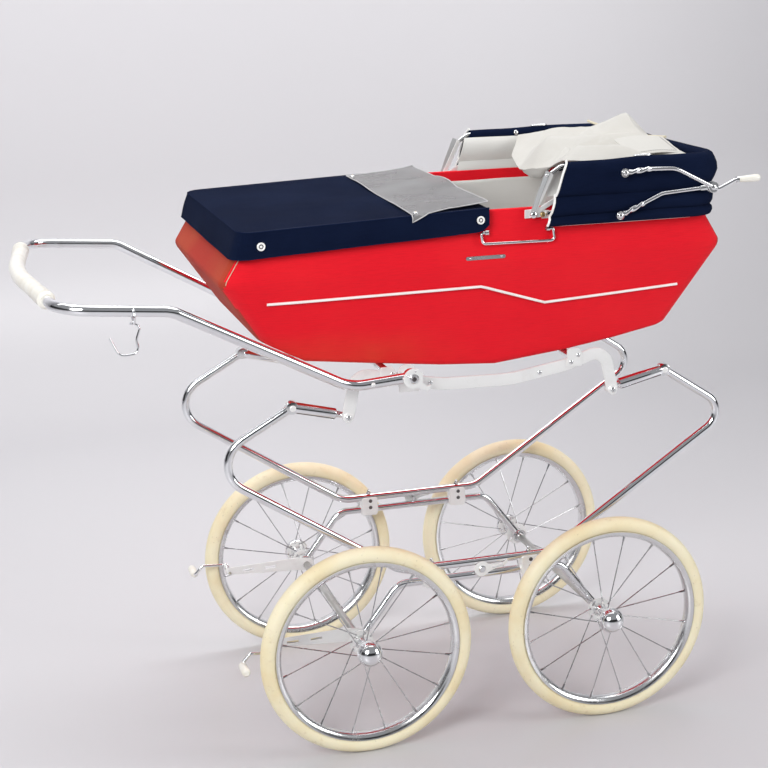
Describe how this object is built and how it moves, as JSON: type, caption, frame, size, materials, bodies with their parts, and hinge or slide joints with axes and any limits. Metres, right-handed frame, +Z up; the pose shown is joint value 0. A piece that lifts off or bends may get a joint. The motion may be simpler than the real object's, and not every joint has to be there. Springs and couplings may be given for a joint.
{
  "type": "baby carriage",
  "caption": "Coach-built baby carriage: boat-shaped lift-off carrycot with apron and folding hood on a sprung tube chassis with wire wheels, foot brakes and push handle.",
  "frame": {"origin": "on the floor under the middle of the overall length and width", "axes": "+X towards the hood end, -X towards the push handle, +Y to the left side, +Z up"},
  "size_m": [1.1724, 0.5944, 0.99],
  "materials": {
    "tyre": "matte cream rubber",
    "chrome": "polished",
    "satin_steel": "satin",
    "alloy": "satin",
    "ivory": "semi-gloss",
    "red_cloth": "coated weave",
    "navy_cloth": "twill weave",
    "white_cloth": "cotton weave",
    "clear_vinyl": "soft translucent sheet"
  },
  "bodies": {
    "chassis": {"axle_front": "satin_steel", "axle_rear": "satin_steel", "cross_tube_front": "chrome", "cross_tube_rear": "chrome", "spring_tube_left": "chrome", "axle_tube_left": "chrome", "frame_clamp_front_left": "alloy", "frame_clamp_rear_left": "alloy", "shackle_front_left": "chrome", "shackle_rear_left": "chrome", "carrier_left": "alloy", "brake_arm_left": "alloy", "handle_pivot_left": "alloy", "spring_tube_right": "chrome", "axle_tube_right": "chrome", "frame_clamp_front_right": "alloy", "frame_clamp_rear_right": "alloy", "shackle_front_right": "chrome", "shackle_rear_right": "chrome", "carrier_right": "alloy", "brake_arm_right": "alloy", "handle_pivot_right": "alloy"},
    "wheel_front_left_set": {"tyre_front_left": "tyre", "wheel_front_left": "chrome", "hub_cap_front_left": "chrome"},
    "wheel_front_right_set": {"tyre_front_right": "tyre", "wheel_front_right": "chrome", "hub_cap_front_right": "chrome"},
    "wheel_rear_left_set": {"tyre_rear_left": "tyre", "wheel_rear_left": "chrome", "hub_cap_rear_left": "chrome"},
    "wheel_rear_right_set": {"tyre_rear_right": "tyre", "wheel_rear_right": "chrome", "hub_cap_rear_right": "chrome"},
    "push_handle": {"handle_tube": "chrome", "handle_grip": "ivory"},
    "bag_hook": {"bag_hook": "chrome"},
    "brake_pedal_left": {"brake_pedal_left": "chrome"},
    "frame_latch_left": {"frame_latch_left": "alloy"},
    "brake_pedal_right": {"brake_pedal_right": "chrome"},
    "frame_latch_right": {"frame_latch_right": "alloy"},
    "cot": {"cot_shell": "red_cloth", "cot_lining": "white_cloth", "mattress": "white_cloth", "side_moulding_left": "chrome", "side_moulding_right": "chrome", "hood_bow_rear": "chrome", "hood_skirt": "navy_cloth"},
    "apron": {"apron": "navy_cloth"},
    "storm_flap": {"storm_flap": "clear_vinyl"},
    "carry_bail_left": {"carry_bail_left": "chrome"},
    "carry_bail_right": {"carry_bail_right": "chrome"},
    "hood_mid": {"hood_bow_mid": "chrome", "hood_crown": "navy_cloth", "hood_lining": "white_cloth"},
    "hood_front": {"hood_bow_front": "chrome"},
    "stay_lower_left": {"stay_lower_left": "chrome"},
    "stay_upper_left": {"stay_upper_left": "chrome"},
    "stay_lower_right": {"stay_lower_right": "chrome"},
    "stay_upper_right": {"stay_upper_right": "chrome"}
  },
  "joints": [
    {"name": "wheel_front_left_spin", "type": "hinge", "parent": "chassis", "child": "wheel_front_left_set", "pos_m": [0.3411, 0.233, 0.1775], "axis": [0, 1, 0], "continuous": true},
    {"name": "wheel_front_right_spin", "type": "hinge", "parent": "chassis", "child": "wheel_front_right_set", "pos_m": [0.3411, -0.233, 0.1775], "axis": [0, 1, 0], "continuous": true},
    {"name": "wheel_rear_left_spin", "type": "hinge", "parent": "chassis", "child": "wheel_rear_left_set", "pos_m": [-0.0811, 0.233, 0.1775], "axis": [0, 1, 0], "continuous": true},
    {"name": "wheel_rear_right_spin", "type": "hinge", "parent": "chassis", "child": "wheel_rear_right_set", "pos_m": [-0.0811, -0.233, 0.1775], "axis": [0, 1, 0], "continuous": true},
    {"name": "handle_fold", "type": "hinge", "parent": "chassis", "child": "push_handle", "pos_m": [0.0025, 0, 0.627], "axis": [0, 1, 0], "range_deg": [-20, 35]},
    {"name": "bag_hook_swing", "type": "hinge", "parent": "push_handle", "child": "bag_hook", "pos_m": [-0.439, -0.289, 0.764], "axis": [0, 1, 0], "range_deg": [-25, 25]},
    {"name": "brake_press_left", "type": "hinge", "parent": "chassis", "child": "brake_pedal_left", "pos_m": [-0.227, 0.2, 0.183], "axis": [0, -1, 0], "range_deg": [0, 25]},
    {"name": "frame_latch_turn_left", "type": "hinge", "parent": "chassis", "child": "frame_latch_left", "pos_m": [0.13, 0.196, 0.2775], "axis": [0, -1, 0], "range_deg": [0, 60]},
    {"name": "brake_press_right", "type": "hinge", "parent": "chassis", "child": "brake_pedal_right", "pos_m": [-0.227, -0.2, 0.183], "axis": [0, -1, 0], "range_deg": [0, 25]},
    {"name": "frame_latch_turn_right", "type": "hinge", "parent": "chassis", "child": "frame_latch_right", "pos_m": [0.13, -0.196, 0.2775], "axis": [0, -1, 0], "range_deg": [0, 60]},
    {"name": "cot_lift_off", "type": "slide", "parent": "chassis", "child": "cot", "axis": [0, 0, 1], "range_m": [0, 0.3]},
    {"name": "apron_lift_off", "type": "slide", "parent": "cot", "child": "apron", "axis": [0, 0, 1], "range_m": [0, 0.08]},
    {"name": "storm_flap_turn", "type": "hinge", "parent": "apron", "child": "storm_flap", "pos_m": [0.132, 0, 0.888], "axis": [0, 1, 0], "range_deg": [0, 100]},
    {"name": "carry_bail_swing_left", "type": "hinge", "parent": "cot", "child": "carry_bail_left", "pos_m": [0.183, 0.22, 0.846], "axis": [1, 0, 0], "range_deg": [0, 80]},
    {"name": "carry_bail_swing_right", "type": "hinge", "parent": "cot", "child": "carry_bail_right", "pos_m": [0.183, -0.22, 0.846], "axis": [-1, 0, 0], "range_deg": [0, 80]},
    {"name": "hood_raise", "type": "hinge", "parent": "cot", "child": "hood_mid", "pos_m": [0.207, 0, 0.87], "axis": [0, -1, 0], "range_deg": [0, 42]},
    {"name": "hood_front_raise", "type": "hinge", "parent": "hood_mid", "child": "hood_front", "pos_m": [0.207, 0, 0.87], "axis": [0, -1, 0], "range_deg": [0, 42]},
    {"name": "stay_lower_turn_left", "type": "hinge", "parent": "cot", "child": "stay_lower_left", "pos_m": [0.347, 0.243, 0.8627], "axis": [0, -1, 0], "range_deg": [0, 88]},
    {"name": "stay_upper_turn_left", "type": "hinge", "parent": "hood_front", "child": "stay_upper_left", "pos_m": [0.3508, 0.25, 0.9307], "axis": [0, -1, 0], "range_deg": [-72, 0]},
    {"name": "stay_lower_turn_right", "type": "hinge", "parent": "cot", "child": "stay_lower_right", "pos_m": [0.347, -0.243, 0.8627], "axis": [0, -1, 0], "range_deg": [0, 88]},
    {"name": "stay_upper_turn_right", "type": "hinge", "parent": "hood_front", "child": "stay_upper_right", "pos_m": [0.3508, -0.25, 0.9307], "axis": [0, -1, 0], "range_deg": [-72, 0]}
  ],
  "couplings": [
    {"joint": "hood_front_raise", "follows": "hood_raise", "ratio": 1},
    {"joint": "stay_lower_turn_left", "follows": "hood_raise", "ratio": 2.079},
    {"joint": "stay_upper_turn_left", "follows": "hood_raise", "ratio": -1.706},
    {"joint": "stay_lower_turn_right", "follows": "hood_raise", "ratio": 2.079},
    {"joint": "stay_upper_turn_right", "follows": "hood_raise", "ratio": -1.706}
  ]
}
